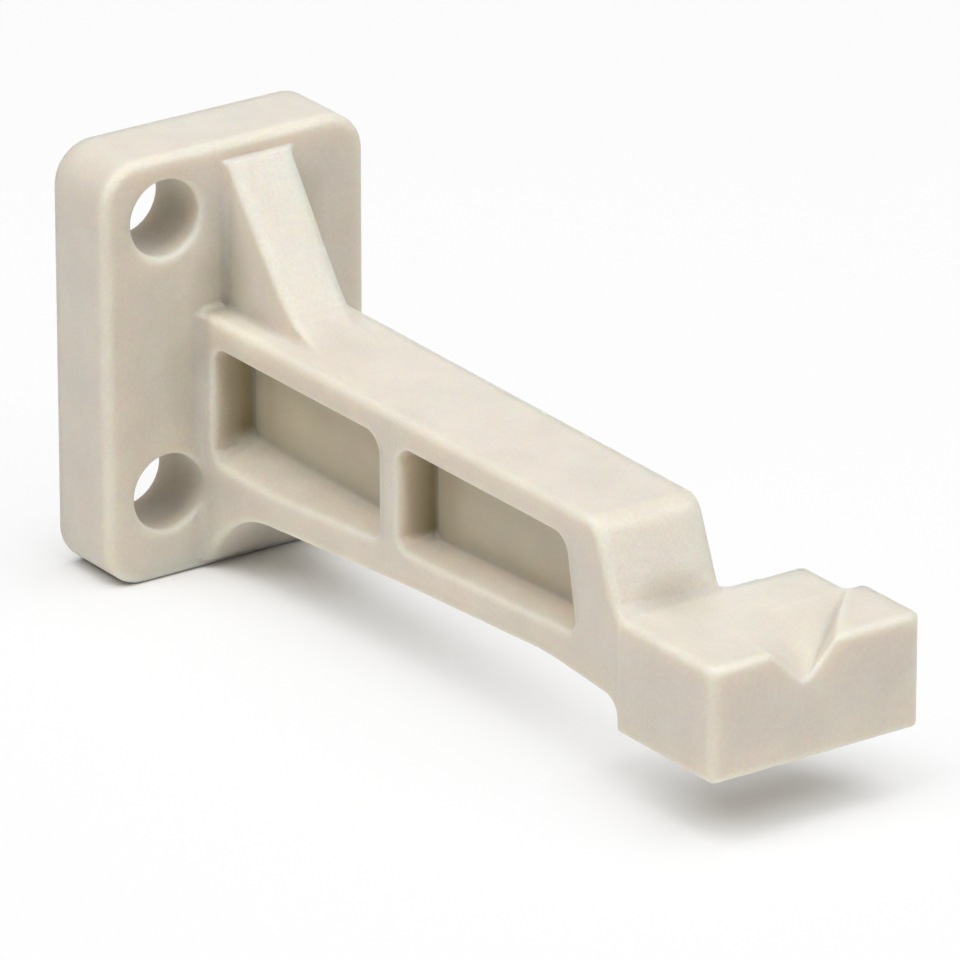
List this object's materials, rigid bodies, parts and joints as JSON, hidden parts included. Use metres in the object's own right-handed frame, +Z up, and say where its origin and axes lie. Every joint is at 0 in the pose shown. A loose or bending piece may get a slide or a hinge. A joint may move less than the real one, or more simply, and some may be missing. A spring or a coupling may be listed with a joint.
{
  "type": "robot gripper finger",
  "caption": "Offset gripper finger: a bolt-on mounting plate, a gusseted I-section arm and a stepped tip block with a V notch in its end face.",
  "frame": {"origin": "middle of the two bolt holes, on the mounting face", "axes": "+X along the arm towards the tip, +Y across the arm towards the tip's far side, +Z up along the line of the bolt holes"},
  "size_m": [0.1054, 0.0404, 0.0501],
  "materials": {
    "ivory_plastic": "fine matte grain, as cast in a mould"
  },
  "bodies": {
    "root": {"finger": "ivory_plastic"}
  },
  "joints": []
}
